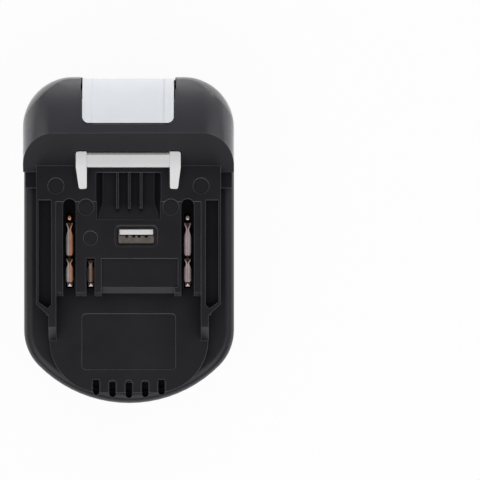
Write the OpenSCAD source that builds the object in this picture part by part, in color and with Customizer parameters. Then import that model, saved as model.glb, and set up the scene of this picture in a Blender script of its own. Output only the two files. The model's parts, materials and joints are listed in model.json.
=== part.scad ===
// Slide-on tool battery adapter with a USB outlet.
// Millimetres. X is the width, +Y points to the rear hump, +Z points to the tool side.
// The origin is under the middle of the body, on the rim that the adapter stands on.

/* [Body] */
// Width across the sides
body_w = 75; // [74:0.5:78]
// Length from the nose to the rear
body_l = 116.2; // [115:0.1:120]
// Height of the hump's ridge above the rim
body_h = 46; // [45:0.5:48]
// Radius of the four plan corners
corner_r = 18; // [17:0.5:19]
// How far the rounded nose reaches past the straight sides
nose_rise = 26.1; // [25:0.1:28]
// Wall thickness of both housings
wall = 2.4; // [2:0.1:2.6]
// Height of the seam between the two housings
seam_z = 19; // [18.8:0.1:19.4]
// Radius of the hump's long edges
dome_r = 11.5; // [10:0.5:12]

/* [Tool rails] */
// Height of the shoulder under the rail grooves
shoulder_z = 24; // [23.5:0.1:24.5]
// Height of the grooves
groove_h = 5; // [4.5:0.1:5.5]
// Width across the rails
rail_w = 65.6; // [64:0.1:66]
// Width across the groove floors
neck_w = 58.6; // [58:0.1:60]
// Height of the plateau that carries the slots
plateau_z = 34.5; // [34:0.1:35]
// Height of the deck in front of the plateau
deck_z = 27; // [26.8:0.1:27.4]
// Distance of the power slots from the middle
power_x = 21; // [20.9:0.05:21.2]
// Width of the power slots
power_slot_w = 4.6; // [4.4:0.1:4.8]

/* [Battery bay] */
// Width of the bay
bay_w = 56.4; // [55:0.1:57]
// Depth of the bay
bay_h = 14; // [13:0.5:14]
// Reach of each lip under the battery's rails
lip_reach = 6.4; // [5:0.1:7]
// Thickness of the lips
lip_t = 3.5; // [3:0.1:4]
// Distance of the blades from the middle
blade_x = 12.3; // [12:0.1:12.6]
// Thickness of the blades
blade_t = 1; // [0.8:0.1:1]

/* [Latch] */
// Width of the release button
button_w = 32.4; // [31:0.1:33]
// Travel of the button and hook
travel = 4.8; // [4:0.1:5]
// Gap around moving pieces
slide_gap = 0.35; // [0.3:0.05:0.4]

/* [Hidden] */
$fn = 64;
eps = 0.01;
far = 200;

// Plan outline: straight sides, four equal corners and one wide nose arc tangent to the two nose corners
half_w = body_w / 2;
rear_y = body_l / 2;
nose_y = -rear_y;
corner_x = half_w - corner_r;
rear_c_y = rear_y - corner_r;
nose_c_y = nose_y + nose_rise;
nose_drop = nose_rise - corner_r;
fan_dy = (corner_x * corner_x - nose_drop * nose_drop) / (2 * nose_drop);
fan_y = nose_c_y + fan_dy;
fan_r = nose_rise + fan_dy;
fan_a = atan2(corner_x, fan_dy);

// Hump: front slope at 45 degrees up to the ridge, back arched about an axis across the body
slope_y = rear_y - 31.5;
hump_foot_y = slope_y - 2.2;
ledge_front = hump_foot_y - 5.7;
ledge_inset = 0.7;
ledge_z = shoulder_z + 6;
arch_r = 40;
arch_y = rear_y - 24.1;
arch_z = body_h - arch_r;
arch_rise = 0.2;
arch_hub = 6;
shoulder_r = 3.5;

// Plateau: rails, long pockets in the rails, lowered field between the side walls
half_rail = rail_w / 2;
half_neck = neck_w / 2;
rail_z = shoulder_z + groove_h;
roof_t = 2.2;
wall_in = 25.8;
wall_out = 28.4;
wall_end = -30.8;
wall_toe = -35.7;
lead_in_y = -22.5;
lead_in = 4.2;
plateau_end = -19.7;
plateau_bevel = 1.6;
field_rear = 13.8;
field_d = 0.3;
field_z = plateau_z - field_d;
channel_in = 27.4;
channel_out = half_rail - 0.75;
channel_rear = 14.4;
channel_floor = rail_z + 1.5;
channel_tip = [28.7, lead_in_y - 1.7];
mark_r = 2.85;
mark_d = 0.3;

// Badge field and its ramp: left, right, front and rear edges
badge = [-9.6, 17.6, -16.6, -6.4];
badge_d = 0.6;
ramp_right = 16.3;
ramp_front = -18.7;
ramp_d = 1.8;

// Deck with its label field and vents
deck_corner_r = 18.7;
deck_half_w = 28.2;
deck_end = nose_y + 3.8;
label_half = 16.7;
label_front = deck_end + 8.3;
label_l = 19.9;
label_r = 1.5;
label_d = 0.25;
vent_pitch = 5.83;
vent_w = 2.3;
vent_l = 4.4;
vent_front = nose_y + 1.9;
vent_curve = 0.27;
vent_notch_w = 2.9;
vent_notch_rear = deck_end + 4.5;
vent_notch_d = 1.2;

// Recess between the hook's legs
recess_half = 11.55;
recess_d = 3.2;
recess_front = 7.4;
recess_step = 0.8;
recess_ramp = 13.2;
recess_rear = slope_y - 2.4;
recess_wall = 1.5;
recess_draft = 2.4;
rib_t = 0.8;
rib_pitch = 4.2;
rib_shift = 0.3;
rib_front = 11.5;

// Contact slots and clips
power_slot_rear = 14.9;
signal_x = -13.5;
signal_slot_w = 3;
signal_slot_rear = -6.3;
guide_t = 1.2;
clip_front = -17;
clip_rear = 9.9;
clip_half = 1.45;
leaf_half = clip_half - slide_gap;
leaf_t = 0.4;
leaf_top = plateau_z - 2;
base_half = 0.9;
base_t = 0.6;

// Lower housing: rim and step under the full outline
rim_half = 32.4;
rim_rear = rear_y - 1.1;
rim_corner = 12.5;
rim_h = 5;
rim_round = 0.8;
step_half = 34.2;
step_rear = rear_y - 0.9;
step_corner = 14.7;
step_h = 10;
step_round = 2;
floor_t = 2;

// Battery bay
bay_half = bay_w / 2;
floor_z = bay_h + floor_t;
nose_z = 16.5;
bay_front = -30.3;
nose_front = -33.3;
cheek_front = -26.5;
bay_side_end = rear_y - 19.1;
bay_side_r = 2;
bay_end = rear_y - 16;
bay_arc_r = 12.5;
hood_half = 14.2;
hood_front = rear_y - 23.5;
hood_z = 2.5;
hood_wall = 1.4;
lip_front = 1.6;
lip_rear = 26.6;
lip_step_y = 20;
lip_step = 0.6;
window = [-9.9, -14.4, 17.2, -2.2];
window_r = 1;
pocket_half = 13.3;
pocket_front = -29.6;
pocket_rear = -22.6;
pocket_step = -26.1;
pocket_ledge_d = 2.2;
pocket_d = 4;
pocket_hole_r = 1.1;
pocket_hole_y = 1.7;
side_notch_x = 31;
side_notch_z = 3.5;
side_notch_rear = -15.4;
side_notch_front = -20.8;

// Battery blades and the block that holds them in the hood
blade_h = 6;
blade_z = 5;
blade_tip = hood_front - 12;
blade_tail = hood_front + 13.4;
block_top = blade_z + blade_h + 2;

// Fasteners: [x, y] of each screw, rear pair first
rear_screw = [28.1, rear_y - 14.2];
front_screw = [22.9, -20.5];
well_r = 2.75;
head_r = 2.5;
head_h = 2;
screw_r = 1.4;
screw_gap = 0.2;
boss_r = 3.2;
post_r = well_r + 1;
rear_seat_z = 12;
rear_foot = seam_z - 1;
rear_screw_top = rear_foot + 7;
front_seat_z = 21;
front_foot = front_seat_z + 1.6;
front_screw_top = deck_z - 1.8;
bore_gap = 0.5;

// Circuit board
board_z = 18;
board_t = 1.6;
board_top = board_z + board_t;
board_half = 25;
board_front = -17.2;
board_rear = 20;
board_screw = [8.5, 16.8];
board_screw_r = 1;
board_screw_head = 2;
pillar_x = 23;
pillar_r = 1.6;

// USB outlet
usb_x = 2.75;
usb_y = 1.6;
usb_w = 13.15;
usb_d = 5.7;
usb_t = 0.35;
usb_r = 0.9;
usb_top = plateau_z - 0.6;
usb_base_h = 3;
usb_floor = usb_top - 7;
usb_rim = 0.65;
usb_gap = 0.3;
tongue_half = 6;
tongue_back = usb_y + 2.3;
tongue_face = usb_y + 0.5;
pin_x = [-3.5, -1, 1, 3.5];
pin_w = 1;
pin_t = 0.3;

// Converter on the board: middle in plan, then size or radius and height
inductor_at = [12.25, -10.5];
inductor_size = [7.5, 7.4, 4.5];
chip_at = [1.5, -10.5];
chip_size = [5, 4, 1.6];
diode_at = [-5.8, -10.6];
diode_size = [4.4, 2.8, 2.2];
input_can_x = -12;
input_can_r = 3.6;
input_can_h = 8.5;
output_can_x = 13.8;
output_can_r = 3.1;
output_can_h = 8;

// Latch
plate_z = 22;
plate_t = 3;
plate_top = plate_z + plate_t;
plate_half = 17.4;
plate_front = slope_y - 0.1;
plate_rear = rear_y - 7.6;
button_front = rear_y - 16.5;
button_rear = rear_y - 0.7;
button_low = plate_top + travel + 0.4;
button_wall = 2.2;
button_corner = 2.3;
button_proud = 0.55;
trough_edge = 3.2;
trough_d = 0.6;
skirt_y = rear_y - 6.1;
skirt_t = 2;
post_x = 11;
post_y = rear_y - 14.9;
post_top = body_h - 4;
notch_z = plate_top - 0.1;
notch_flare_y = rear_y - 4.7;
notch_flare = 0.4;
hook_half = 18.6;
hook_tip = 17.7;
hook_in = 14.75;
hook_front = slope_y - 8.3;
bar_front = slope_y - 0.6;
bar_rear = slope_y + 4.6;
hook_rear = bar_rear + 0.4;
hook_top = 38.6;
hook_low = 31;
hook_edge = 0.8;
tip_r = 0.8;
latch_guide_front = plate_front + 6.5;
latch_guide_rear = plate_front + 14;
latch_guide_t = 1.4;
latch_stop_in = 15.2;
spring_x = 8;
spring_y = rear_y - 11.5;
spring_z = 10;
spring_r = 2.8;
wire_r = 0.4;
spring_turns = 5;

// General shapes

// Points along an arc, without its last point
function arc(c, r, a0, a1, steps) =
    [for (i = [0 : steps - 1]) let (a = a0 + (a1 - a0) * i / steps) c + r * [cos(a), sin(a)]];

// The outline's front from y round the nose and back to y, moved inward by d
function nose_path(y, d = 0) = concat(
    [[half_w - d, y]],
    arc([corner_x, nose_c_y], corner_r - d, 0, fan_a - 90, 8),
    arc([0, fan_y], fan_r - d, fan_a - 90, -fan_a - 90, 20),
    arc([-corner_x, nose_c_y], corner_r - d, -fan_a - 90, -180, 8),
    [[-half_w + d, nose_c_y], [-half_w + d, y]]);

// The plan outline, moved inward by d
module outline(d = 0) {
    polygon(nose_path(rear_c_y, d));
    translate([-corner_x, 0]) square([2 * corner_x, rear_y - d]);
    for (x = [-corner_x, corner_x])
        translate([x, rear_c_y]) circle(corner_r - d);
}

// Front of the body up to y, its shoulder rounded by r under height z
module nose_loft(y, z0, z, r) {
    levels = concat([[z0, 0]], [for (a = [0 : 15 : 90]) [z - r + r * sin(a), r - r * cos(a)]]);
    n = len(nose_path(y));
    points = [for (l = levels, p = nose_path(y, l[1])) [p[0], p[1], l[0]]];
    last = (len(levels) - 1) * n;
    faces = concat(
        [[for (k = [n - 1 : -1 : 0]) k]],
        [for (i = [0 : len(levels) - 2], k = [0 : n - 1])
            let (a = i * n + k, b = i * n + (k + 1) % n)
            each [[a, b + n, a + n], [a, b, b + n]]],
        [[for (k = [0 : n - 1]) last + k]]);
    polyhedron(points, faces);
}

// A slab of the outline between two heights
module slab(z0, z1, d = 0) {
    translate([0, 0, z0]) linear_extrude(z1 - z0) outline(d);
}

// A box between two corners
module box(lo, hi) {
    translate(lo) cube(hi - lo);
}

// The same shape on both sides of the middle
module both() {
    children();
    mirror([1, 0, 0]) children();
}

// A side profile drawn in Y and Z, as wide as x0 to x1
module across(x0, x1) {
    translate([x0, 0, 0]) rotate([90, 0, 90]) linear_extrude(x1 - x0) children();
}

// An upright cylinder at a point of the plan, from z0 to z1
module post(p, r, z0, z1) {
    translate([p[0], p[1], z0]) cylinder(r = r, h = z1 - z0);
}

// Carries a section round the sides and rear of an outline: its X is 0 on the outline and grows outward
module sweep(half, rear, r, front) {
    both() {
        translate([half, rear - r, 0]) rotate([90, 0, 0]) linear_extrude(rear - r - front) children();
        translate([half - r, rear - r, 0]) rotate_extrude(angle = 90) translate([r, 0]) children();
    }
    rotate(90) translate([rear, half - r, 0]) rotate([90, 0, 0]) linear_extrude(2 * (half - r)) children();
}

// What a rounded edge of radius r takes away under height z
module round_cut(z, r) {
    difference() {
        translate([-r, z - r]) square([r + 1, r + 1]);
        translate([-r, z - r]) circle(r);
    }
}

// What a rounded lower edge of radius r takes away above height z
module low_round_cut(z, r) {
    translate([0, z]) mirror([0, 1]) round_cut(0, r);
}

// A plate with round corners, from z0 to z1
module pad(x0, y0, x1, y1, r, z0, z1) {
    translate([0, 0, z0]) linear_extrude(z1 - z0) {
        translate([x0 + r, y0]) square([x1 - x0 - 2 * r, y1 - y0]);
        translate([x0, y0 + r]) square([x1 - x0, y1 - y0 - 2 * r]);
        for (x = [x0 + r, x1 - r], y = [y0 + r, y1 - r])
            translate([x, y]) circle(r);
    }
}

// A slot open to the nose, with a round rear end
module slot(x, w, y_rear, y_front, z0) {
    translate([x, 0, z0]) linear_extrude(far) {
        translate([-w / 2, y_front]) square([w, y_rear - w / 2 - y_front]);
        translate([0, y_rear - w / 2]) circle(w / 2);
    }
}

// Upper housing

// Wheel about an axis across the body: its rim is the hump's arched back with rounded flanks
module wheel(d) {
    half = half_w - d + eps * 5;
    r = dome_r - d;
    rim = arch_r + arch_rise - d;
    translate([0, arch_y, arch_z]) rotate([0, 90, 0]) rotate_extrude($fn = 128)
        polygon(concat(
            [[arch_hub, -half]],
            arc([rim - r, r - half], r, -90, 0, 10),
            arc([rim - r, half - r], r, 0, 90, 10),
            [[rim - r, half], [arch_hub, half]]));
}

// Hump, moved inward by d
module hump(d = 0) {
    slope = d * sqrt(2);
    top = body_h - d;
    foot = hump_foot_y + d;
    intersection() {
        difference() {
            slab(seam_z, top, d);
            sweep(half_w - d, rear_y - d, corner_r - d, 0) round_cut(top, dome_r - d);
        }
        union() {
            wheel(d);
            box([-far, -far, 0], [far, arch_y + arch_rise, far]);
        }
        across(-far, far)
            polygon([[foot, 0], [far, 0], [far, far],
                [slope_y + far - plateau_z + slope, far], [foot, plateau_z + foot - slope_y - slope]]);
    }
}

// Flange outline of the plateau with its tapered lead-in
module flange() {
    polygon([[-half_rail, slope_y], [-half_rail, lead_in_y], [-wall_out, lead_in_y - lead_in],
        [wall_out, lead_in_y - lead_in], [half_rail, lead_in_y], [half_rail, slope_y]]);
}

// Deck outline with its rounded nose
module deck(d = 0) {
    r = deck_corner_r - d;
    cx = deck_half_w - deck_corner_r;
    cy = deck_end + deck_corner_r;
    translate([-deck_half_w + d, cy]) square([2 * (deck_half_w - d), -cy]);
    translate([-cx, deck_end + d]) square([2 * cx, -deck_end - d]);
    for (x = [-cx, cx])
        translate([x, cy]) circle(r);
}

// Side wall that runs from the plateau onto the deck
module side_wall() {
    across(wall_in, wall_out)
        polygon([[plateau_end, seam_z], [plateau_end, plateau_z], [wall_end, plateau_z],
            [wall_toe, deck_z], [wall_toe, seam_z]]);
}

module upper_outer() {
    nose_loft(hump_foot_y + 1, seam_z, shoulder_z, shoulder_r);
    hump();
    intersection() {
        slab(seam_z, ledge_z, ledge_inset);
        box([-half_w, ledge_front, 0], [half_w, hump_foot_y + 1, far]);
    }
    translate([0, 0, rail_z]) linear_extrude(plateau_z - rail_z) flange();
    box([-half_neck, lead_in_y - lead_in, seam_z], [half_neck, slope_y, rail_z]);
    translate([0, 0, seam_z]) linear_extrude(deck_z - seam_z) deck();
    both() side_wall();
}

// Space inside the upper housing
module upper_inner() {
    rear = hump_foot_y + wall + 1;
    slab(seam_z - 1, shoulder_z - roof_t, wall);
    hump(wall);
    box([-half_neck + wall, clip_front - 1, seam_z], [half_neck - wall, rear, rail_z]);
    box([-wall_in, clip_front, seam_z], [wall_in, rear, plateau_z - roof_t]);
    translate([0, 0, seam_z]) linear_extrude(deck_z - roof_t - seam_z) deck(roof_t);
}

// Ribs, bosses and guides inside the upper housing
module upper_inside() {
    side = plate_half + slide_gap;
    intersection() {
        both() {
            post(rear_screw, boss_r, rear_foot, far);
            box([side, latch_guide_front, seam_z], [side + latch_guide_t, latch_guide_rear, far]);
            box([latch_stop_in, (latch_guide_front + latch_guide_rear) / 2, plate_top + slide_gap],
                [side + eps, latch_guide_rear, far]);
        }
        hump(wall / 2);
    }
    both() {
        post(front_screw, boss_r, front_foot, deck_z - 1);
        post(rear_screw, boss_r, rear_foot, rear_screw_top + 1);
        slot_guide(power_x, power_slot_w, power_slot_rear);
    }
    slot_guide(signal_x, signal_slot_w, signal_slot_rear);
    box([-recess_half - recess_wall, recess_front - recess_wall, plateau_z - recess_d - recess_wall],
        [recess_half + recess_wall, slope_y, plateau_z - 1]);
}

// Square slot of the signal contact, with the opening for its clip
module signal_slot() {
    half = signal_slot_w / 2;
    box([signal_x - half, -far, deck_z], [signal_x + half, signal_slot_rear, far]);
    box([signal_x - clip_half, clip_front, 0], [signal_x + clip_half, signal_slot_rear - 0.2, far]);
}

// Block round a contact slot under the roof
module slot_guide(x, w, y_rear) {
    half = w / 2 + guide_t;
    box([x - half, clip_front - 1, shoulder_z], [x + half, y_rear + guide_t, plateau_z - 1]);
}

// Recess with sloping sides, three ribs and a ramp between the hook's legs
module vent_recess() {
    low = plateau_z - recess_d;
    foot = recess_half - recess_draft;
    difference() {
        intersection() {
            across(-recess_half, recess_half)
                polygon([[recess_front, far], [recess_front, plateau_z - recess_step],
                    [recess_ramp, low], [recess_rear, low], [recess_rear, far]]);
            translate([0, recess_rear + 1, 0]) rotate([90, 0, 0]) linear_extrude(far)
                polygon([[-recess_half, far], [-recess_half, plateau_z], [-foot, low - eps],
                    [foot, low - eps], [recess_half, plateau_z], [recess_half, far]]);
        }
        for (i = [-1 : 1])
            translate([i * rib_pitch + rib_shift, 0, 0])
                box([-rib_t / 2, rib_front, 0], [rib_t / 2, recess_rear, field_z]);
    }
}

// Openings for the hook's bar and legs
module hook_opening() {
    g = slide_gap;
    both() translate([0, 0, shoulder_z]) linear_extrude(far) leg_plan(g);
    box([-hook_in - 1, bar_front - g, plate_top], [hook_in + 1, bar_rear + g, far]);
}

// Shallow recess behind the button, across the rear of both housings
module rear_recess() {
    half = button_w / 2 + slide_gap;
    box([-half, step_rear, rim_h], [half, far, far]);
}

// Notch for the button, wider at its open end
module button_notch() {
    half = button_w / 2 + slide_gap;
    pad(-half, button_front - slide_gap, half, far, button_corner + slide_gap, notch_z, far);
    box([-half - notch_flare, notch_flare_y, notch_z], [half + notch_flare, far, far]);
}

// Lowered field, bevel along the front of the plateau, badge field and its ramp
module plateau_front() {
    bevel_z = plateau_z - plateau_bevel;
    box([-wall_in, -far, field_z], [wall_in, field_rear, far]);
    across(-wall_in, wall_in)
        polygon([[-far, deck_z], [plateau_end, deck_z], [plateau_end, bevel_z],
            [plateau_end + plateau_bevel, plateau_z], [plateau_end + plateau_bevel, far], [-far, far]]);
    box([badge[0], badge[2], field_z - badge_d], [badge[1], badge[3], far]);
    across(badge[0], ramp_right)
        polygon([[-far, deck_z], [ramp_front, deck_z], [ramp_front, field_z - ramp_d],
            [badge[2] + eps, field_z - badge_d], [badge[2] + eps, far], [-far, far]]);
}

// Five vents through the edge of the deck, each at the end of a notch
module nose_vents() {
    for (i = [-2 : 2]) {
        front = vent_front + vent_curve * i * i;
        slot(i * vent_pitch, vent_notch_w, vent_notch_rear, nose_y, deck_z - vent_notch_d);
        translate([i * vent_pitch, 0, seam_z + 2]) linear_extrude(far) {
            translate([-vent_w / 2, front + vent_w / 2]) square([vent_w, vent_l]);
            translate([0, front + vent_w / 2]) circle(vent_w / 2);
        }
    }
}

// Round sunk marks that the mould leaves on the plateau
module mould_marks() {
    both() {
        post([wall_in, slope_y - 7.2], mark_r, plateau_z - mark_d, far);
        post([15.1, 11.9], mark_r, field_z - mark_d, far);
    }
    post([signal_x, 0.9], mark_r - 0.35, field_z - mark_d, far);
}

// Long pocket in a rail with a pointed nose end
module channel() {
    translate([0, 0, channel_floor]) linear_extrude(far)
        polygon([[channel_in, channel_rear], [channel_in, channel_tip[1] + 1.3], channel_tip,
            [channel_out, lead_in_y + 0.6], [channel_out, channel_rear]]);
}

// Opening for the USB outlet with a sunk rim
module usb_opening() {
    x = usb_w / 2 + usb_gap;
    y = usb_d / 2 + usb_gap;
    pad(usb_x - x, usb_y - y, usb_x + x, usb_y + y, usb_r + usb_gap, 0, far);
    pad(usb_x - x - usb_rim, usb_y - y - usb_rim, usb_x + x + usb_rim, usb_y + y + usb_rim,
        usb_r + usb_gap + usb_rim, field_z - 0.4, far);
}

module upper_shell() {
    color([0.14, 0.14, 0.16]) difference() {
        union() {
            difference() {
                upper_outer();
                upper_inner();
            }
            upper_inside();
        }
        plateau_front();
        pad(-label_half, label_front, label_half, label_front + label_l, label_r, deck_z - label_d, far);
        both() {
            slot(power_x, power_slot_w, power_slot_rear, -far, deck_z);
            box([power_x - clip_half, clip_front, 0], [power_x + clip_half, clip_rear, far]);
            channel();
            post(rear_screw, screw_r, 0, rear_screw_top);
            post(front_screw, screw_r, 0, front_screw_top);
            post(front_screw, post_r + slide_gap, 0, front_foot);
        }
        signal_slot();
        vent_recess();
        hook_opening();
        usb_opening();
        button_notch();
        rear_recess();
        nose_vents();
        mould_marks();
    }
}

// Lower housing

// Half of a rim outline under the full outline, moved inward by d
module rim_plan(half, rear, r, d = 0) {
    translate([0, nose_c_y]) square([half - d, rear - r - nose_c_y]);
    translate([0, nose_c_y]) square([half - r, rear - d - nose_c_y]);
    translate([half - r, rear - r]) circle(r - d);
}

module rim_slab(half, rear, r, z0, z1, d = 0) {
    both() translate([0, 0, z0]) linear_extrude(z1 - z0) rim_plan(half, rear, r, d);
}

module lower_outer() {
    slab(step_h, seam_z);
    difference() {
        rim_slab(step_half, step_rear, step_corner, rim_h, step_h + 1);
        sweep(step_half, step_rear, step_corner, nose_c_y - 1) low_round_cut(rim_h, step_round);
    }
    difference() {
        rim_slab(rim_half, rim_rear, rim_corner, 0, rim_h + 1);
        sweep(rim_half, rim_rear, rim_corner, nose_c_y - 1) low_round_cut(0, rim_round);
    }
}

// Room for the battery, open at the nose
module bay() {
    translate([0, 0, -1]) linear_extrude(bay_h + 1) difference() {
        union() {
            translate([-bay_half, -far]) square([bay_w, far + bay_side_end - bay_side_r]);
            for (side = [-1, 1]) {
                translate([side * (bay_half - bay_side_r), bay_side_end - bay_side_r]) circle(bay_side_r);
                translate([side * (bay_half - bay_arc_r), bay_end - bay_arc_r]) circle(bay_arc_r);
            }
            translate([bay_side_r - bay_half, 0]) square([bay_w - 2 * bay_side_r, bay_side_end]);
            translate([bay_arc_r - bay_half, 0]) square([bay_w - 2 * bay_arc_r, bay_end]);
        }
        translate([-hood_half, hood_front]) square([2 * hood_half, far]);
    }
}

// What the sloping nose takes away under the body
module nose_relief() {
    top = bay_h - eps;
    across(-far, far)
        polygon([[-far, -1], [-far, nose_z], [nose_front, nose_z], [bay_front, top], [bay_front - 1, top],
            [cheek_front, 0], [cheek_front, -1]]);
}

// Space inside the lower housing
module lower_inner() {
    slab(nose_z + floor_t, seam_z + 1, wall);
    intersection() {
        slab(floor_z, seam_z + 1, wall);
        box([-far, bay_front + 1, 0], [far, far, far]);
    }
    intersection() {
        union() {
            slab(step_h + 1, seam_z, wall);
            rim_slab(rim_half, rim_rear, rim_corner, wall, seam_z, wall);
        }
        box([-far, bay_end + wall, 0], [far, far, far]);
    }
    box([-hood_half + hood_wall, hood_front + hood_wall, hood_z + hood_wall],
        [hood_half - hood_wall, bay_end + wall + 1, seam_z]);
}

// Posts and seats inside the lower housing
module lower_inside() {
    spring = [spring_x, spring_y];
    both() {
        post(rear_screw, post_r, 1, rear_foot);
        post(front_screw, post_r, bay_h, front_foot);
        post(spring, spring_r + 0.6, 1, spring_z);
        post(spring, spring_r - wire_r - 0.6, 1, spring_z + 4);
        post(board_screw, board_screw_head + 0.6, bay_h + 1, board_z);
        for (y = [board_rear - 4, board_front + 4.2])
            post([pillar_x, y], pillar_r, bay_h + 1, board_z);
    }
}

// Ledge that centres the two housings on each other, left open behind for the latch
module seam_lip() {
    fit = 0.15;
    t = 1.2;
    difference() {
        slab(seam_z - 1, seam_z + 1.4, wall + fit);
        slab(0, far, wall + fit + t);
        box([-plate_half - 3.6, 0, 0], [plate_half + 3.6, far, far]);
        for (x = [-front_screw[0], front_screw[0]])
            post([x, front_screw[1]], post_r, 0, far);
    }
}

// Lip under the battery's rail, thinner in front of its step
module lip() {
    x = bay_half - lip_reach;
    box([x, lip_front, lip_step], [bay_half + 1, lip_rear, lip_t]);
    box([x, lip_step_y, 0], [bay_half + 1, lip_rear, lip_step + eps]);
}

// Notch in the side of the bay
module side_notch() {
    x = bay_half - 1;
    translate([0, 0, side_notch_z]) linear_extrude(bay_h - side_notch_z)
        polygon([[x, side_notch_rear + 1], [side_notch_x, side_notch_rear - 2.2],
            [side_notch_x, side_notch_front], [x, side_notch_front]]);
}

// Pocket for the battery's own latch, deep behind its step, grown by t for its walls
module latch_pocket(t) {
    low = bay_h - (t > 0 ? 0 : 1);
    ledge = bay_h + pocket_ledge_d + t;
    top = bay_h + pocket_d + t;
    across(-pocket_half - t, pocket_half + t)
        polygon([[pocket_front - t, low], [pocket_front - t, ledge], [pocket_step - t, ledge],
            [pocket_step - t, top], [pocket_rear + t, top], [pocket_rear + t, low]]);
}

// Fine sunk lines in the floor of the bay
module floor_lines() {
    w = 0.4;
    lines = [[8, 0, 10], [8, 18, 28], [12, 4.5, 9], [16, 4.5, 23.5]];
    both() for (l = lines)
        box([l[0] - w / 2, l[1], bay_h - 1], [l[0] + w / 2, l[2], bay_h + 0.2]);
}

module lower_shell() {
    color([0.13, 0.13, 0.15]) difference() {
        union() {
            difference() {
                lower_outer();
                bay();
                nose_relief();
                lower_inner();
            }
            lower_inside();
            seam_lip();
            both() lip();
            latch_pocket(floor_t);
        }
        latch_pocket(0);
        post([0, pocket_rear - pocket_hole_y], pocket_hole_r, bay_h, bay_h + pocket_d + 1);
        floor_lines();
        rear_recess();
        both() {
            post(rear_screw, well_r, -1, rear_seat_z);
            post(rear_screw, screw_r + screw_gap, 0, far);
            post(front_screw, well_r, 0, front_seat_z);
            post(front_screw, screw_r + screw_gap, 0, far);
            post(board_screw, board_screw_r, floor_z - 1, far);
            box([blade_x - blade_t / 2, hood_front - 1, blade_z],
                [blade_x + blade_t / 2, hood_front + hood_wall + 1, blade_z + blade_h]);
            side_notch();
        }
        pad(window[0], window[1], window[2], window[3], window_r, 0, far);
    }
}

// Fasteners

// A pan-head screw with a cross recess, head down
module screw(r, head, h, length) {
    cross_w = 0.6;
    difference() {
        union() {
            translate([0, 0, -h]) cylinder(r = head, h = h);
            cylinder(r = r, h = length);
        }
        for (a = [0, 90])
            rotate(a) box([-head * 0.6, -cross_w / 2, -h - 1], [head * 0.6, cross_w / 2, -h / 2]);
    }
}

module case_screws() {
    color([0.55, 0.55, 0.57]) both() {
        translate([rear_screw[0], rear_screw[1], rear_seat_z])
            screw(screw_r, head_r, head_h, rear_screw_top - rear_seat_z - bore_gap);
        translate([front_screw[0], front_screw[1], front_seat_z])
            screw(screw_r, head_r, head_h, front_screw_top - front_seat_z - bore_gap);
    }
}

module board_screws() {
    color([0.6, 0.6, 0.62]) both()
        translate([board_screw[0], board_screw[1], board_top]) rotate([180, 0, 0])
            screw(board_screw_r, board_screw_head, 1.4, board_top - floor_z);
}

// Latch

module release_button() {
    half = button_w / 2 - 1;
    color([0.91, 0.93, 0.96]) {
        difference() {
            button_form(0, 0, button_low);
            button_form(button_wall, button_wall + trough_d, 0);
            button_trough();
        }
        box([-half, skirt_y, plate_z], [half, skirt_y + skirt_t, button_low + 4]);
        box([-half, skirt_y, button_low], [half, button_rear - 1, button_low + 2]);
        both() box([post_x, post_y, plate_top], [post_x + 3.5, post_y + 4.3, post_top]);
    }
}

// Button block above height low, its sides moved inward by d and its arched top lowered by drop
module button_form(d, drop, low) {
    half = button_w / 2;
    intersection() {
        pad(-half + d, button_front + d, half - d, far, button_corner, low, body_h);
        box([-far, 0, 0], [far, button_rear - d, far]);
        across(-far, far) translate([arch_y, arch_z]) circle(arch_r + button_proud - drop, $fn = 128);
    }
}

// Shallow finger trough along the arched top, with rounded sides
module button_trough() {
    half = button_w / 2 - trough_edge;
    r = 1;
    low = arch_r + button_proud - trough_d;
    translate([0, arch_y, arch_z]) rotate([0, 90, 0]) rotate_extrude($fn = 128) {
        translate([low + r, -half]) square([4, 2 * half]);
        translate([low, -half + r]) square([r, 2 * half - 2 * r]);
        for (x = [-half + r, half - r])
            translate([low + r, x]) circle(r);
    }
}

module lock_hook() {
    bar_low = hook_low + 1;
    color([0.9, 0.9, 0.89]) {
        box([-plate_half, plate_front, plate_z], [plate_half, plate_rear, plate_top]);
        box([-plate_half, plate_front, plate_top], [plate_half, bar_rear - 0.6, bar_low + 1]);
        across(-hook_in - 1, hook_in + 1)
            polygon([[bar_front, bar_low], [bar_front, hook_top - hook_edge], [bar_front + hook_edge, hook_top],
                [bar_rear - hook_edge, hook_top], [bar_rear, hook_top - hook_edge], [bar_rear, bar_low]]);
        both() hook_leg();
    }
}

// Plan of one tapered hook leg with rounded corners, grown by g
module leg_plan(g = 0) {
    r = tip_r + g;
    polygon(concat(
        [[hook_in - g, hook_rear + g]],
        arc([hook_in + tip_r, hook_front + tip_r], r, 180, 270, 4),
        arc([hook_tip - tip_r, hook_front + tip_r], r, 270, 360, 4),
        [[hook_tip + g, hook_front + tip_r], [hook_half + g, bar_front]],
        arc([hook_half - tip_r, hook_rear - tip_r], r, 0, 90, 4),
        [[hook_half - tip_r, hook_rear + g]]));
}

// One leg of the hook, its top sloping down to the tip
module hook_leg() {
    top = hook_top + 0.3;
    intersection() {
        across(0, far)
            polygon([[hook_front - 1, hook_low], [hook_front - 1, plateau_z], [bar_front, top],
                [far, top], [far, hook_low]]);
        linear_extrude(far) leg_plan();
    }
}

// Coil springs: rings of points along a helix, with a straight end
function ring(c, dir, r, sides) = let (
        side = cross(dir, [0, 0, 1]),
        up = cross(side, dir)
    ) [for (k = [0 : sides - 1]) let (a = 360 * (k + 0.5) / sides) c + r * (cos(a) * side + sin(a) * up)];

function unit(v) = v / norm(v);

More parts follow.
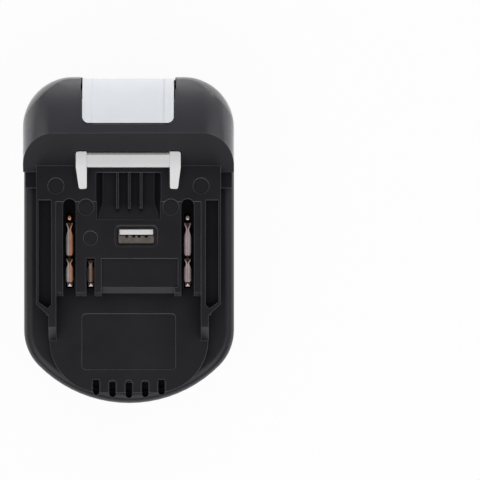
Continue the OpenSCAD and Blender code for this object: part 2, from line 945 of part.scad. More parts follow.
module coil(r, wire, turns, length) {
    sides = 6;
    per_turn = 8;
    steps = turns * per_turn;
    rise = (length - 2 * wire) / steps;
    helix = [for (i = [0 : steps]) [r * cos(360 * i / per_turn), r * sin(360 * i / per_turn), wire + rise * i]];
    first = helix[0] - [0, 2 * wire, 0];
    last = helix[steps] + [0, 2 * wire, 0];
    path = concat([first], helix, [last]);
    n = len(path);
    dirs = [for (i = [0 : n - 1]) unit(path[min(i + 1, n - 1)] - path[max(i - 1, 0)])];
    points = [for (i = [0 : n - 1]) each ring(path[i], dirs[i], wire, sides)];
    faces = concat(
        [[for (k = [0 : sides - 1]) k]],
        [for (i = [0 : n - 2], k = [0 : sides - 1])
            let (a = i * sides + k, b = i * sides + (k + 1) % sides)
            each [[a, a + sides, b + sides], [a, b + sides, b]]],
        [[for (k = [sides - 1 : -1 : 0]) (n - 1) * sides + k]]);
    polyhedron(points, faces);
}

module latch_springs() {
    length = plate_z - spring_z;
    gap = (length - travel - 2 * wire_r) / spring_turns - 2 * wire_r;
    echo(least_spring_gap = gap);
    color([0.7, 0.7, 0.72]) both()
        translate([spring_x, spring_y, spring_z]) coil(spring_r, wire_r, spring_turns, length);
}

// Contacts

// Section of a clip: two upright leaves joined by a round fold on top, half width r
module fold_section(r) {
    translate([-r, board_top]) square([2 * r, leaf_top - leaf_half - board_top]);
    translate([0, leaf_top - leaf_half]) circle(r);
}

// A folded clip from front to rear: wide and open in front, pinched near the rear, flared at the tail
module clip(front, rear) {
    shares = [[0, 0.7], [0.12, 1], [0.6, 1], [0.78, 0.6], [0.84, 0.6], [1, 0.9]];
    side = [for (s = shares) [s[1] * leaf_half, front + s[0] * (rear - front)]];
    other = [for (i = [len(side) - 1 : -1 : 0]) [-side[i][0], side[i][1]]];
    intersection() {
        translate([0, rear, 0]) rotate([90, 0, 0]) linear_extrude(rear - front) difference() {
            fold_section(leaf_half);
            fold_section(leaf_half - leaf_t);
        }
        linear_extrude(far) polygon(concat(side, other));
    }
}

// Base strip of a contact with the bent tab at its front
module contact_base(rear) {
    front = clip_front + slide_gap;
    tab_l = 1.5;
    tab_top = deck_z - 0.2;
    box([-base_half, front, board_top], [base_half, rear, board_top + base_t]);
    across(-base_half, base_half)
        polygon([[front, board_top], [front + leaf_t, board_top], [front + leaf_t, tab_top - 1.4],
            [front + tab_l, tab_top - leaf_t], [front + tab_l, tab_top], [front, tab_top - 0.8]]);
}

// Two clips in a row with a bead behind them
module power_contact() {
    bead_y = clip_rear - 1.9;
    bead_top = leaf_top - 1;
    contact_base(clip_rear - slide_gap);
    post([0, bead_y], base_half, board_top, bead_top);
    translate([0, bead_y, bead_top]) cylinder(r1 = base_half, r2 = base_half / 3, h = base_t);
    clip(-5.8, 6.2);
    clip(-14.8, -6.2);
}

module left_tool_contact() {
    color([0.75, 0.45, 0.3]) translate([-power_x, 0, 0]) power_contact();
}

module right_tool_contact() {
    color([0.75, 0.5, 0.4]) translate([power_x, 0, 0]) power_contact();
}

module signal_contact() {
    rear = signal_slot_rear - 0.6;
    color([0.75, 0.48, 0.35]) translate([signal_x, 0, 0]) {
        contact_base(rear);
        clip(-14.8, rear);
    }
}

// Battery blade: round tip in front of the hood, tail behind it
module battery_blade() {
    translate([blade_x - blade_t / 2, 0, blade_z]) rotate([90, 0, 90]) linear_extrude(blade_t) {
        translate([blade_tip + blade_h / 2, 0]) square([blade_tail - blade_tip - blade_h / 2, blade_h]);
        translate([blade_tip + blade_h / 2, blade_h / 2]) circle(blade_h / 2);
    }
}

module left_battery_blade() {
    color([0.78, 0.78, 0.8]) mirror([1, 0, 0]) battery_blade();
}

module right_battery_blade() {
    color([0.78, 0.78, 0.8]) battery_blade();
}

module blade_block() {
    half = blade_x - blade_t / 2;
    color([0.2, 0.2, 0.22])
        box([-half, hood_front + hood_wall, hood_z + hood_wall], [half, bay_end, block_top]);
}

// Lead from a blade's tail, up past the latch and forward to the board
module lead() {
    r = 1;
    bend = 2.2;
    x0 = blade_x + blade_t / 2;
    x1 = plate_half + 3.9;
    y0 = blade_tail - 1.4;
    y1 = board_rear - 2.5;
    z0 = blade_z + blade_h / 2;
    z1 = board_top + bend + 0.5;
    translate([x0, y0, z0]) rotate([0, 90, 0]) cylinder(r = r, h = x1 - bend - x0);
    translate([x1 - bend, y0, z0 + bend]) rotate([90, 90, 0]) elbow(r, bend);
    translate([x1, y0, z0 + bend]) cylinder(r = r, h = z1 - z0 - 2 * bend);
    translate([x1, y0 - bend, z1 - bend]) rotate([90, 0, 90]) elbow(r, bend);
    translate([x1, y1 + bend, z1]) rotate([-90, 0, 0]) cylinder(r = r, h = y0 - y1 - 2 * bend);
    translate([x1, y1 + bend, z1 - bend]) rotate([90, 0, -90]) elbow(r, bend);
    translate([x1, y1, board_top]) cylinder(r = r, h = z1 - bend - board_top);
}

// Quarter bend of a round lead
module elbow(r, bend) {
    rotate_extrude(angle = 90) translate([bend, 0]) circle(r);
}

module positive_lead() {
    color([0.7, 0.1, 0.1]) lead();
}

module negative_lead() {
    color([0.12, 0.12, 0.12]) mirror([1, 0, 0]) lead();
}

// Board and its parts

module circuit_board() {
    color([0.35, 0.24, 0.14]) difference() {
        box([-board_half, board_front, board_z], [board_half, board_rear, board_top]);
        both() {
            post(board_screw, board_screw_r + screw_gap, 0, far);
            post(front_screw, post_r + slide_gap, 0, far);
        }
    }
}

// A USB-A outlet that faces up: folded sheet shell with a floor in front of the tongue
module usb_shell() {
    color([0.6, 0.57, 0.52]) {
        difference() {
            usb_pad(0, board_top, usb_top);
            usb_pad(usb_t, 0, far);
        }
        difference() {
            box([usb_x - usb_w / 2 + usb_t / 2, usb_y - usb_d / 2 + usb_t / 2, usb_floor],
                [usb_x + usb_w / 2 - usb_t / 2, tongue_face - pin_t - 0.1, usb_floor + usb_t]);
            for (dx = pin_x)
                box([usb_x + dx - pin_w / 2, tongue_face - 1.1, 0], [usb_x + dx + pin_w / 2, far, far]);
        }
    }
}

// Plan of the outlet, moved inward by d
module usb_pad(d, z0, z1) {
    x = usb_w / 2 - d;
    y = usb_d / 2 - d;
    pad(usb_x - x, usb_y - y, usb_x + x, usb_y + y, usb_r - d, z0, z1);
}

module usb_tongue() {
    color([0.93, 0.93, 0.91]) {
        usb_pad(usb_t, board_top, board_top + usb_base_h);
        box([usb_x - tongue_half, tongue_face, board_top], [usb_x + tongue_half, tongue_back, usb_top - 0.8]);
    }
}

module usb_contacts() {
    color([0.85, 0.7, 0.35]) for (dx = pin_x)
        box([usb_x + dx - pin_w / 2, tongue_face - pin_t, board_top + usb_base_h],
            [usb_x + dx + pin_w / 2, tongue_face, usb_top - 1.6]);
}

// A block of the converter on the board: middle of its plan, and its size
module on_board(middle, size) {
    translate([middle[0] - size[0] / 2, middle[1] - size[1] / 2, board_top]) cube(size);
}

module inductor() {
    color([0.3, 0.3, 0.32]) on_board(inductor_at, inductor_size);
}

module input_capacitor() {
    color([0.16, 0.18, 0.3]) post([input_can_x, usb_y], input_can_r, board_top, board_top + input_can_h);
}

module output_capacitor() {
    color([0.16, 0.18, 0.3]) post([output_can_x, usb_y], output_can_r, board_top, board_top + output_can_h);
}

module converter_chip() {
    color([0.1, 0.1, 0.1]) on_board(chip_at, chip_size);
}

module catch_diode() {
    color([0.15, 0.15, 0.15]) on_board(diode_at, diode_size);
}

upper_shell();
lower_shell();
case_screws();
board_screws();
release_button();
lock_hook();
latch_springs();
left_tool_contact();
right_tool_contact();
signal_contact();
left_battery_blade();
right_battery_blade();
blade_block();
positive_lead();
negative_lead();
circuit_board();
usb_shell();
usb_tongue();
usb_contacts();
inductor();
input_capacitor();
output_capacitor();
converter_chip();
catch_diode();
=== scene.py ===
"""Looks of the slide-on tool battery adapter: materials, fine pieces, light and camera."""
import json
import math

import bpy
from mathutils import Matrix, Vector


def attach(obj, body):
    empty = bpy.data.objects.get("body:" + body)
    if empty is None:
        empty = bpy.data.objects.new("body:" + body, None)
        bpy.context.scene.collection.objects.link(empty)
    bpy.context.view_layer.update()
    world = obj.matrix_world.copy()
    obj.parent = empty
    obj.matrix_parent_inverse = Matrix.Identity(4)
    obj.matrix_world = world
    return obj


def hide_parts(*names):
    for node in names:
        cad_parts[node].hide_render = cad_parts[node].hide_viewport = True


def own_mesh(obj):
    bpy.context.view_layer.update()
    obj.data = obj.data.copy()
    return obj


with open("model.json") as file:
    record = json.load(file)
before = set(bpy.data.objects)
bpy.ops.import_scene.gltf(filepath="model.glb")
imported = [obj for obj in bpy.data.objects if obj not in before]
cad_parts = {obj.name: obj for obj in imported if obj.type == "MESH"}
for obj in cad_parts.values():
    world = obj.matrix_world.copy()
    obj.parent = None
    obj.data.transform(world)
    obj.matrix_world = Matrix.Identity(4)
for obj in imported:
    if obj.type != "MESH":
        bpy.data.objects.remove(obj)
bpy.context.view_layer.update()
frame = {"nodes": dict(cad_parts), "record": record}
nodes = frame["nodes"]
MM = 0.001

# The photograph's frame: where the body's middle lies in it, and how much of the object one pixel covers
FRAME_PX = 480
BODY_PX = (128.5, 240.5)
MM_PER_PX = 0.3555
CAMERA_HEIGHT = 2.5
FOCUS_Z = 0.033

# How bright the surroundings are, where 1 is white
FLOOR_GLOW = 0.95
SIDE_GLOW = 0.1
HIGH_GLOW = 0.05
REAR_GLOW = 0.3
DIM_GLOW = 0.12

# The hump's painted light: where it starts, how much paler its colour is painted and its painted sheen at
# glancing angles
HUMP_FRONT = 0.0225
HUMP_FOOT_Z = 0.0345
HUMP_PAINTED_LIGHT = (0.003, 0.0027, 0.0075)
HUMP_PAINTED_SHEEN = 0.8

# How far out a wall still casts painted shade on the plastic next to it, by turning its reflection down
HOLLOW_SHADE_REACH = 0.008

# Leaves on the tool contacts, with painted reflections: places across, [front, rear] of each pair, place of
# the bead and the painted colour of each half
POWER_X = 0.021
SIGNAL_X = -0.0135
FRONT_LEAVES = (-0.0148, -0.0066)
REAR_LEAVES = (-0.0053, 0.0062)
SHORT_LEAVES = (-0.0148, -0.0069)
BEAD_Y = 0.008
CONTACTS = {
    "left_contact_leaves": (-POWER_X, [FRONT_LEAVES, REAR_LEAVES], BEAD_Y, ("leaf_glint_grey", "leaf_glint_orange")),
    "right_contact_leaves": (POWER_X, [FRONT_LEAVES, REAR_LEAVES], BEAD_Y, ("leaf_glint_lilac", "leaf_glint_lilac")),
    "signal_contact_leaves": (SIGNAL_X, [SHORT_LEAVES], None, ("leaf_glint_grey", "leaf_glint_orange")),
}

# Shape of a leaf, a bead and a tip: heights, half widths, radius, thickness and how far they fall
LEAF_Z = 0.03275
LEAF_HALF = 0.00128
LEAF_T = 0.00012
LEAF_FALL = 0.36
BEAD_R = 0.001
BEAD_Z = 0.0324
TIP_FRONT = -0.0164
TIP_REAR = -0.0153
TIP_HALF = 0.0008
TIP_Z = 0.0269
TIP_FALL = 0.0005

# Plastics: darkest and lightest colour, roughness, grains per metre and depth of the grain
PLASTICS = {
    "button_white": ((0.86, 0.885, 0.925), (0.9, 0.925, 0.965), 0.38, 1500, 1e-5),
    "hook_white": ((0.91, 0.91, 0.91), (0.94, 0.94, 0.94), 0.36, 1500, 1e-5),
    "tongue_white": ((0.92, 0.92, 0.94), (0.95, 0.95, 0.97), 0.4, 1500, 1e-5),
    "block_plastic": ((0.03, 0.03, 0.033), (0.045, 0.045, 0.05), 0.5, 2000, 3e-5),
    "chip_black": ((0.012, 0.012, 0.012), (0.02, 0.02, 0.02), 0.55, 3500, 4e-5),
    "red_insulation": ((0.42, 0.015, 0.015), (0.52, 0.03, 0.025), 0.4, 900, 2e-5),
    "black_insulation": ((0.015, 0.015, 0.015), (0.025, 0.025, 0.025), 0.4, 900, 2e-5),
    "can_sleeve": ((0.03, 0.04, 0.09), (0.05, 0.06, 0.13), 0.35, 900, 1e-5),
    "ferrite": ((0.07, 0.07, 0.078), (0.11, 0.11, 0.12), 0.65, 3000, 6e-5),
}

# Metals: darkest and lightest colour, roughness and how the drawn streaks are stretched
METALS = {
    "screw_steel": ((0.02, 0.02, 0.018), (0.05, 0.05, 0.045), 0.4, (1, 1, 0.1)),
    "spring_steel": ((0.45, 0.45, 0.47), (0.62, 0.62, 0.64), 0.25, (1, 1, 0.3)),
    "copper": ((0.04, 0.024, 0.018), (0.1, 0.062, 0.048), 0.4, (1, 0.1, 0.1)),
    # The three leaf metals are copper with painted reflections, grey, orange or lilac as the halves of the
    # leaves catch the light
    "leaf_glint_orange": ((0.5, 0.22, 0.13), (0.62, 0.33, 0.22), 0.3, (1, 0.1, 0.1)),
    "leaf_glint_grey": ((0.37, 0.33, 0.32), (0.47, 0.44, 0.43), 0.3, (1, 0.1, 0.1)),
    "leaf_glint_lilac": ((0.42, 0.32, 0.33), (0.53, 0.44, 0.45), 0.3, (1, 0.1, 0.1)),
    "blade_tin": ((0.5, 0.5, 0.52), (0.72, 0.72, 0.74), 0.28, (1, 0.1, 1)),
    "contact_gold": ((0.03, 0.022, 0.012), (0.07, 0.052, 0.03), 0.3, (1, 1, 0.1)),
}


# Materials

def add_node(tree, kind, **values):
    """A new node whose inputs and settings have the given values."""
    node = tree.nodes.new(kind)
    for key, value in values.items():
        if key in node.inputs:
            node.inputs[key].default_value = value
        else:
            setattr(node, key, value)
    return node


def new_material(name):
    """An empty node material with its principled shader, and a helper that adds nodes to it."""
    mat = bpy.data.materials.new(name)
    mat.use_nodes = True
    tree = mat.node_tree
    shader = tree.nodes["Principled BSDF"]

    def add(kind, **values):
        return add_node(tree, kind, **values)

    return mat, tree, shader, add


def noise(tree, add, coords, scale, detail=3.0, roughness=0.55):
    """Noise in the object's own space, scale in features per metre."""
    node = add("ShaderNodeTexNoise", Scale=scale, Detail=detail, Roughness=roughness)
    tree.links.new(coords.outputs["Object"], node.inputs["Vector"])
    return node


def blend_colours(tree, add, factor, low, high, dark, light):
    """A colour that runs from dark to light as the factor goes from low to high."""
    ramp = add("ShaderNodeValToRGB")
    ramp.color_ramp.elements[0].position = low
    ramp.color_ramp.elements[0].color = (*dark, 1)
    ramp.color_ramp.elements[1].position = high
    ramp.color_ramp.elements[1].color = (*light, 1)
    tree.links.new(factor, ramp.inputs["Fac"])
    return ramp.outputs["Color"]


def map_range(tree, add, value, low, high):
    """A value from 0 to 1 spread from low to high."""
    node = add("ShaderNodeMapRange", **{"To Min": low, "To Max": high})
    tree.links.new(value, node.inputs["Value"])
    return node.outputs["Result"]


def bump(tree, add, height, distance, strength, normal=None):
    """A bump from a height field, on top of another normal if there is one."""
    node = add("ShaderNodeBump", Distance=distance, Strength=strength)
    tree.links.new(height, node.inputs["Height"])
    if normal:
        tree.links.new(normal, node.inputs["Normal"])
    return node.outputs["Normal"]


def rounded_edges(tree, add, radius):
    """The normal with sharp edges rounded, and a value that runs from 0 on faces to 1 on edges."""
    rounded = add("ShaderNodeBevel", samples=8, Radius=radius).outputs["Normal"]
    turn = add("ShaderNodeVectorMath", operation="DOT_PRODUCT")
    tree.links.new(rounded, turn.inputs[0])
    tree.links.new(add("ShaderNodeNewGeometry").outputs["Normal"], turn.inputs[1])
    edge = add("ShaderNodeMapRange", **{"From Min": 0.99, "From Max": 0.8})
    tree.links.new(turn.outputs["Value"], edge.inputs["Value"])
    return rounded, edge.outputs["Result"]


def ramp_share(tree, value, low, high):
    """How far a value has gone from low to high, from 0 to 1."""
    share = add_node(tree, "ShaderNodeMapRange", **{"From Min": low, "From Max": high})
    tree.links.new(value, share.inputs["Value"])
    return share.outputs["Result"]


def axes_of(tree, output):
    """X, Y and Z of the place or the normal in the object's own space."""
    axes = add_node(tree, "ShaderNodeSeparateXYZ")
    tree.links.new(add_node(tree, "ShaderNodeTexCoord").outputs[output], axes.inputs["Vector"])
    return axes.outputs


def times(tree, a, b):
    """The product of two values, where the second may be a plain number."""
    node = add_node(tree, "ShaderNodeMath", operation="MULTIPLY")
    tree.links.new(a, node.inputs[0])
    if isinstance(b, float):
        node.inputs[1].default_value = b
    else:
        tree.links.new(b, node.inputs[1])
    return node.outputs["Value"]


def larger(tree, a, b):
    """The larger of two values."""
    node = add_node(tree, "ShaderNodeMath", operation="MAXIMUM")
    tree.links.new(a, node.inputs[0])
    tree.links.new(b, node.inputs[1])
    return node.outputs["Value"]


def tint(mat, share, colour, blend_type):
    """Blends a colour over a material's own, as far as the share says."""
    tree = mat.node_tree
    base = tree.nodes["Principled BSDF"].inputs["Base Color"]
    mix = add_node(tree, "ShaderNodeMix", data_type="RGBA", blend_type=blend_type)
    mix.inputs["B"].default_value = (*colour, 1)
    tree.links.new(share, mix.inputs["Factor"])
    tree.links.new(base.links[0].from_socket, mix.inputs["A"])
    tree.links.new(mix.outputs["Result"], base)


def black_shell():
    """Black plastic, painted paler and shinier, with a painted sheen, on the back and flanks of the hump,
    for the light those faces catch.
    """
    dark = (0.006, 0.0055, 0.009)
    light = (0.0075, 0.007, 0.0115)
    mat = moulded_plastic("black_shell", dark, light, 0.36, 2600, 2e-5, edge_r=2.8e-4, glint_strength=15)
    tree = mat.node_tree
    shader = tree.nodes["Principled BSDF"]
    place = axes_of(tree, "Object")
    # Painted light: hump faces that do not turn to the front are painted paler and given more shine and a
    # sheen
    raised = ramp_share(tree, place["Z"], HUMP_FOOT_Z, HUMP_FOOT_Z + 3e-4)
    behind = ramp_share(tree, axes_of(tree, "Normal")["Y"], -0.25, -0.1)
    past_front = ramp_share(tree, place["Y"], HUMP_FRONT, HUMP_FRONT + 3e-4)
    hump_glow = times(tree, times(tree, raised, behind), past_front)
    tint(mat, hump_glow, HUMP_PAINTED_LIGHT, "ADD")
    tree.links.new(times(tree, hump_glow, HUMP_PAINTED_SHEEN), shader.inputs["Sheen Weight"])
    glossier = add_node(tree, "ShaderNodeMath", operation="ADD")
    tree.links.new(hump_glow, glossier.inputs[0])
    glossier.inputs[1].default_value = 1.0
    shine = shader.inputs["Specular IOR Level"]
    tree.links.new(times(tree, shine.links[0].from_socket, glossier.outputs["Value"]), shine)
    shader.inputs["Sheen Roughness"].default_value = 0.4
    return mat


def usb_metal():
    """Tinned sheet, darker along its top rim round the opening."""
    mat = sheet_metal("usb_metal", (0.6, 0.54, 0.49), (0.78, 0.72, 0.67), 0.36, (1, 1, 0.1))
    top = max(v.co.z for v in nodes["usb_shell"].data.vertices)
    rim = ramp_share(mat.node_tree, axes_of(mat.node_tree, "Object")["Z"], top - 5e-4, top - 2e-4)
    tint(mat, rim, (0.12, 0.11, 0.11), "MULTIPLY")
    return mat


def moulded_plastic(name, dark, light, rough, grain, depth, edge_r=2.5e-4, glint_strength=1.0):
    """Moulded plastic: slow colour drift, fine grain, a painted highlight along the edges and painted shade
    in the hollows.
    """
    mat, tree, shader, add = new_material(name)
    coords = add("ShaderNodeTexCoord")
    drift = noise(tree, add, coords, 55, detail=4)
    fine = noise(tree, add, coords, grain, detail=2)
    rounded, edge = rounded_edges(tree, add, edge_r)
    colour = blend_colours(tree, add, drift.outputs["Fac"], 0.3, 0.7, dark, light)
    # Painted highlight: edges are painted lighter, for the light that their rounding catches
    painted_edge_glint = add("ShaderNodeMix", data_type="RGBA")
    tree.links.new(edge, painted_edge_glint.inputs["Factor"])
    tree.links.new(colour, painted_edge_glint.inputs["A"])
    glint_grey = min(1, glint_strength * sum(light) / 3)
    painted_edge_glint.inputs["B"].default_value = (glint_grey, glint_grey, glint_grey, 1)
    tree.links.new(painted_edge_glint.outputs["Result"], shader.inputs["Base Color"])
    gloss = map_range(tree, add, drift.outputs["Fac"], rough - 0.08, rough + 0.08)
    tree.links.new(gloss, shader.inputs["Roughness"])
    tree.links.new(bump(tree, add, fine.outputs["Fac"], depth, 0.6, rounded), shader.inputs["Normal"])
    # Painted shade: reflection is turned down near walls, so hollows come out darker
    hollow_shade = add("ShaderNodeAmbientOcclusion", samples=8, Distance=HOLLOW_SHADE_REACH)
    shine = map_range(tree, add, hollow_shade.outputs["AO"], 0.1, 0.5)
    tree.links.new(shine, shader.inputs["Specular IOR Level"])
    return mat


def sheet_metal(name, dark, light, rough, stretch):
    """Metal with drawn streaks along one axis and a little tarnish."""
    mat, tree, shader, add = new_material(name)
    coords = add("ShaderNodeTexCoord")
    squeeze = add("ShaderNodeMapping")
    squeeze.inputs["Scale"].default_value = stretch
    tree.links.new(coords.outputs["Object"], squeeze.inputs["Vector"])
    streak = add("ShaderNodeTexNoise", Scale=900.0, Detail=3.0)
    tree.links.new(squeeze.outputs["Vector"], streak.inputs["Vector"])
    tarnish = noise(tree, add, coords, 260, detail=4)
    colour = blend_colours(tree, add, tarnish.outputs["Fac"], 0.3, 0.65, dark, light)
    tree.links.new(colour, shader.inputs["Base Color"])
    gloss = map_range(tree, add, streak.outputs["Fac"], rough - 0.1, rough + 0.12)
    tree.links.new(gloss, shader.inputs["Roughness"])
    tree.links.new(bump(tree, add, streak.outputs["Fac"], 2e-5, 0.4), shader.inputs["Normal"])
    shader.inputs["Metallic"].default_value = 1.0
    return mat


def board_laminate(name):
    """Circuit board: woven glass under a brown lacquer with copper fields."""
    mat, tree, shader, add = new_material(name)
    coords = add("ShaderNodeTexCoord")
    weave = add("ShaderNodeTexWave", Scale=700.0, Distortion=1.5)
    tree.links.new(coords.outputs["Object"], weave.inputs["Vector"])
    fields = add("ShaderNodeTexVoronoi", Scale=210.0, distance="CHEBYCHEV")
    tree.links.new(coords.outputs["Object"], fields.inputs["Vector"])
    lacquer = (0.012, 0.0105, 0.006)
    copper = (0.022, 0.02, 0.012)
    colour = blend_colours(tree, add, fields.outputs["Distance"], 0.25, 0.45, lacquer, copper)
    tree.links.new(colour, shader.inputs["Base Color"])
    tree.links.new(map_range(tree, add, weave.outputs["Fac"], 0.3, 0.5), shader.inputs["Roughness"])
    tree.links.new(bump(tree, add, weave.outputs["Fac"], 3e-5, 0.4), shader.inputs["Normal"])
    return mat


def make_materials():
    """One material for each material slot of the record, and three copper colours with painted reflections
    for the contact leaves.
    """
    materials = {name: moulded_plastic(name, *values) for name, values in PLASTICS.items()}
    for name, values in METALS.items():
        materials[name] = sheet_metal(name, *values)
    materials["black_shell"] = black_shell()
    materials["usb_metal"] = usb_metal()
    materials["board_laminate"] = board_laminate("board_laminate")
    return materials


def dress_cad(materials):
    """Gives every CAD node its slot's material and smooth shading over its gentle edges."""
    for part in frame["record"]["subparts"]:
        obj = nodes[part["node"]]
        obj.data.materials.clear()
        obj.data.materials.append(materials[part["material_slot"]])
        for face in obj.data.polygons:
            face.use_smooth = True
        weld = obj.modifiers.new("weld", "WELD")
        weld.merge_threshold = 1e-7
        split = obj.modifiers.new("split", "EDGE_SPLIT")
        split.split_angle = math.radians(28)
        even = obj.modifiers.new("even", "WEIGHTED_NORMAL")
        even.keep_sharp = True


# Fine pieces

def between(points, x):
    """A smooth curve through points, taken at x."""
    for (x0, y0), (x1, y1) in zip(points, points[1:]):
        if x <= x1:
            share = (1 - math.cos(math.pi * (x - x0) / (x1 - x0))) / 2
            return y0 + (y1 - y0) * share
    return points[-1][1]


def leaf_strip(x, front, rear, side, stations=24):
    """One thin leaf, blunt in front and pinched near its tail, which bends out. Gives points and faces."""
    outer = [(0, 0.7), (0.1, 1), (0.55, 1), (0.8, 0.42), (1, 0.95)]
    inner = [(0, 0.03), (0.78, 0.03), (1, 0.62)]
    points, faces = [], []
    for i in range(stations + 1):
        s = i / stations
        y = front + s * (rear - front)
        for edge in (between(inner, s), between(outer, s)):
            out = edge * LEAF_HALF
            for drop in (0, LEAF_T):
                points.append((x + side * out, y, LEAF_Z - LEAF_FALL * out - drop))
    for i in range(stations):
        a = 4 * i
        b = a + 4
        for j, k in ((0, 2), (2, 3), (3, 1), (1, 0)):
            quad = (a + j, a + k, b + k, b + j)
            faces.append(quad if side > 0 else quad[::-1])
    last = 4 * stations
    ends = [(1, 3, 2, 0), (last, last + 2, last + 3, last + 1)]
    faces += ends if side > 0 else [f[::-1] for f in ends]
    return points, faces


def bead(x, y, rings=6, around=16):
    """The round end of a contact, a shallow dome. Gives points and faces."""
    points = [(x, y, BEAD_Z)]
    for i in range(1, rings + 1):
        lean = math.pi / 2 * i / rings
        r = BEAD_R * math.sin(lean)
        z = BEAD_Z - 0.7 * BEAD_R * (1 - math.cos(lean))
        for k in range(around):
            turn = 2 * math.pi * k / around
            points.append((x + r * math.cos(turn), y + r * math.sin(turn), z))
    faces = [(0, 1 + k, 1 + (k + 1) % around) for k in range(around)]
    for i in range(rings - 1):
        a = 1 + i * around
        b = a + around
        for k in range(around):
            n = (k + 1) % around
            faces.append((a + k, b + k, b + n, a + n))
    last = 1 + (rings - 1) * around
    faces.append(tuple(reversed(range(last, last + around))))
    return points, faces


def tip(x):
    """The pointed front end of a contact, a small sloping plate. Gives points and faces."""
    low = TIP_Z - TIP_FALL
    corners = [(x - TIP_HALF, TIP_FRONT, low), (x + TIP_HALF, TIP_FRONT, low), (x, TIP_REAR, TIP_Z)]
    points = corners + [(a, b, c - LEAF_T) for a, b, c in corners]
    faces = [(0, 1, 2), (5, 4, 3)]
    for k in range(3):
        n = (k + 1) % 3
        faces.append((k, k + 3, n + 3, n))
    return points, faces


def join_shapes(name, shapes, glint_materials):
    """One piece on the housing from shapes of points, faces and the number of their glint material."""
    points, faces, numbers = [], [], []
    for more, loops, number in shapes:
        faces += [tuple(k + len(points) for k in loop) for loop in loops]
        numbers += [number] * len(loops)
        points += more
    mesh = bpy.data.meshes.new(name)
    mesh.from_pydata(points, [], faces)
    for glint_material in glint_materials:
        mesh.materials.append(glint_material)
    for face, number in zip(mesh.polygons, numbers):
        face.material_index = number
    piece = bpy.data.objects.new(name, mesh)
    bpy.context.scene.collection.objects.link(piece)
    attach(piece, "housing")


def add_contact_leaves(materials):
    """The leaves, bead and tip on each of the three tool contacts, in copper with painted reflections."""
    for name, (x, pairs, bead_y, glint_materials) in CONTACTS.items():
        shapes = [(*tip(x), 0)]
        for front, rear in pairs:
            shapes.append((*leaf_strip(x, front, rear, -1), 0))
            shapes.append((*leaf_strip(x, front, rear, 1), 1))
        if bead_y:
            shapes.append((*bead(x, bead_y), 1))
        join_shapes(name, shapes, [materials[glint_material] for glint_material in glint_materials])


def add_springs(material):
    """The two coil springs, a copy of the CAD springs in spring steel, fixed to the housing in place of
    them.
    """
    coil = nodes["latch_springs"].data
    piece = bpy.data.objects.new("pressed_springs", coil.copy())
    piece.data.materials.clear()
    piece.data.materials.append(material)
    bpy.context.scene.collection.objects.link(piece)
    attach(piece, "housing")
    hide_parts("latch_springs")
    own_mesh(piece)


# Stage

def white_floor():
    """A pale floor that is only seen from above, so the underside can be looked at."""
    mat, tree, shader, add = new_material("floor_white")
    coords = add("ShaderNodeTexCoord")
    speck = noise(tree, add, coords, 30)
    colour = blend_colours(tree, add, speck.outputs["Fac"], 0.3, 0.7, [0.93] * 3, [0.95] * 3)
    tree.links.new(colour, shader.inputs["Base Color"])
    shader.inputs["Roughness"].default_value = 0.9
    shader.inputs["Specular IOR Level"].default_value = 0.0
    path = add("ShaderNodeLightPath")
    mirrored = larger(tree, path.outputs["Is Glossy Ray"], path.outputs["Is Transmission Ray"])
    share = times(tree, larger(tree, path.outputs["Is Camera Ray"], mirrored), FLOOR_GLOW)
    paper = mix_shaders(tree, add, share, shader, add("ShaderNodeEmission", Strength=1.0))
    below = add("ShaderNodeNewGeometry").outputs["Backfacing"]
    hidden = larger(tree, below, path.outputs["Is Shadow Ray"])
    floor = mix_shaders(tree, add, hidden, paper, add("ShaderNodeBsdfTransparent"))
    tree.links.new(floor.outputs[0], tree.nodes["Material Output"].inputs["Surface"])
    return mat


def mix_shaders(tree, add, factor, first, second):
    """A blend of two shaders."""
    mix = add("ShaderNodeMixShader")
    tree.links.new(factor, mix.inputs["Fac"])
    tree.links.new(first.outputs[0], mix.inputs[1])
    tree.links.new(second.outputs[0], mix.inputs[2])
    return mix


def add_floor():
    """A pale floor just under the rim."""
    half = 6.0
    mesh = bpy.data.meshes.new("floor")
    corners = [(-half, -half, 0), (half, -half, 0), (half, half, 0), (-half, half, 0)]
    mesh.from_pydata([Vector(c) + Vector((0, 0, -2e-4)) for c in corners], [], [(0, 1, 2, 3)])
    floor = bpy.data.objects.new("floor", mesh)
    floor.data.materials.append(white_floor())
    bpy.context.scene.collection.objects.link(floor)


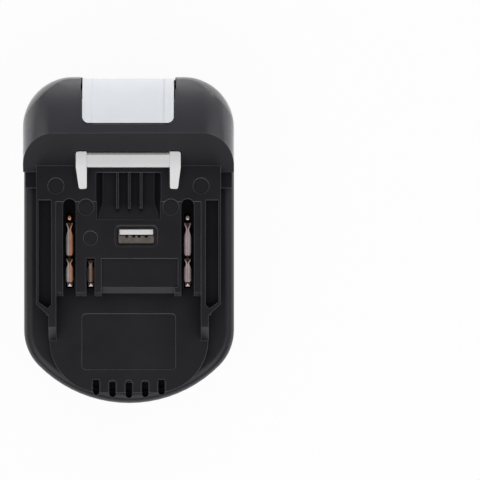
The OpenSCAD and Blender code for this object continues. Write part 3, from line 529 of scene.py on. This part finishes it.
def add_world():
    """White to the camera and below the horizon, dim overhead, a little brighter at the sides and behind."""
    world = bpy.data.worlds.new("studio")
    bpy.context.scene.world = world
    world.use_nodes = True
    tree = world.node_tree
    back = tree.nodes["Background"]
    back.inputs["Color"].default_value = (1, 1, 1, 1)

    def add(kind, **values):
        return add_node(tree, kind, **values)

    def ramp(value, low, high, top):
        node = add("ShaderNodeMapRange", **{"From Min": low, "From Max": high, "To Max": top})
        tree.links.new(value, node.inputs["Value"])
        return node.outputs["Result"]

    def plus(a, b):
        node = add("ShaderNodeMath", operation="ADD")
        tree.links.new(a, node.inputs[0])
        if isinstance(b, float):
            node.inputs[1].default_value = b
        else:
            tree.links.new(b, node.inputs[1])
        return node.outputs["Value"]

    way = add("ShaderNodeSeparateXYZ")
    tree.links.new(add("ShaderNodeTexCoord").outputs["Generated"], way.inputs["Vector"])
    across = larger(tree, way.outputs["X"], times(tree, way.outputs["X"], -1.0))
    side = plus(ramp(across, 0.25, 0.55, HIGH_GLOW), ramp(across, 0.8, 1.0, SIDE_GLOW))
    rear = ramp(way.outputs["Y"], 0.1, 0.8, REAR_GLOW)
    level = plus(larger(tree, side, rear), DIM_GLOW)
    path = add("ShaderNodeLightPath").outputs
    mirrored = larger(tree, path["Is Glossy Ray"], path["Is Transmission Ray"])
    backdrop = times(tree, mirrored, ramp(way.outputs["Z"], 0.05, 0.0, 1.0))
    seen = larger(tree, path["Is Camera Ray"], backdrop)
    tree.links.new(larger(tree, level, seen), back.inputs["Strength"])


def add_lamp(name, place, target, size, watts):
    """A soft box that faces a point."""
    data = bpy.data.lights.new(name, "AREA")
    data.shape = "RECTANGLE"
    data.size, data.size_y = size
    data.energy = watts
    lamp = bpy.data.objects.new(name, data)
    lamp.location = place
    lamp.rotation_euler = (Vector(target) - Vector(place)).to_track_quat("-Z", "Y").to_euler()
    bpy.context.scene.collection.objects.link(lamp)


def add_lights():
    """Soft boxes high in front and at both sides, a low strip behind, and low boxes all round."""
    middle = (0, 0, 0.03)
    add_lamp("front_box", (-0.05, -0.8, 0.95), middle, (2.0, 1.0), 10)
    add_lamp("rear_strip", (0.2, 1.3, 0.3), middle, (1.6, 0.4), 8.5)
    add_lamp("right_high", (0.95, 0.05, 0.95), middle, (1.2, 1.2), 2.4)
    add_lamp("left_high", (-0.95, 0.05, 0.95), middle, (1.2, 1.2), 2.4)
    add_lamp("right_box", (0.55, 0.1, -0.25), middle, (1.0, 0.6), 4.5)
    add_lamp("left_box", (-0.55, 0.1, -0.25), middle, (1.0, 0.6), 5.5)
    add_lamp("low_box", (0.0, -0.6, -0.9), middle, (1.2, 0.8), 9)


def add_camera():
    """Looks straight down, moved so that the body lies where the photograph has it."""
    width = FRAME_PX * MM_PER_PX * MM
    data = bpy.data.cameras.new("camera")
    data.sensor_width = 36
    data.lens = data.sensor_width * (CAMERA_HEIGHT - FOCUS_Z) / width
    data.clip_end = 20
    camera = bpy.data.objects.new("camera", data)
    dx = (FRAME_PX / 2 - BODY_PX[0]) * MM_PER_PX * MM
    dy = (BODY_PX[1] - FRAME_PX / 2) * MM_PER_PX * MM
    camera.location = (dx, dy, CAMERA_HEIGHT)
    bpy.context.scene.collection.objects.link(camera)
    bpy.context.scene.camera = camera


materials = make_materials()
dress_cad(materials)
add_contact_leaves(materials)
add_springs(materials["spring_steel"])
add_floor()
add_world()
add_lights()
add_camera()
bpy.context.scene.view_settings.view_transform = "Standard"
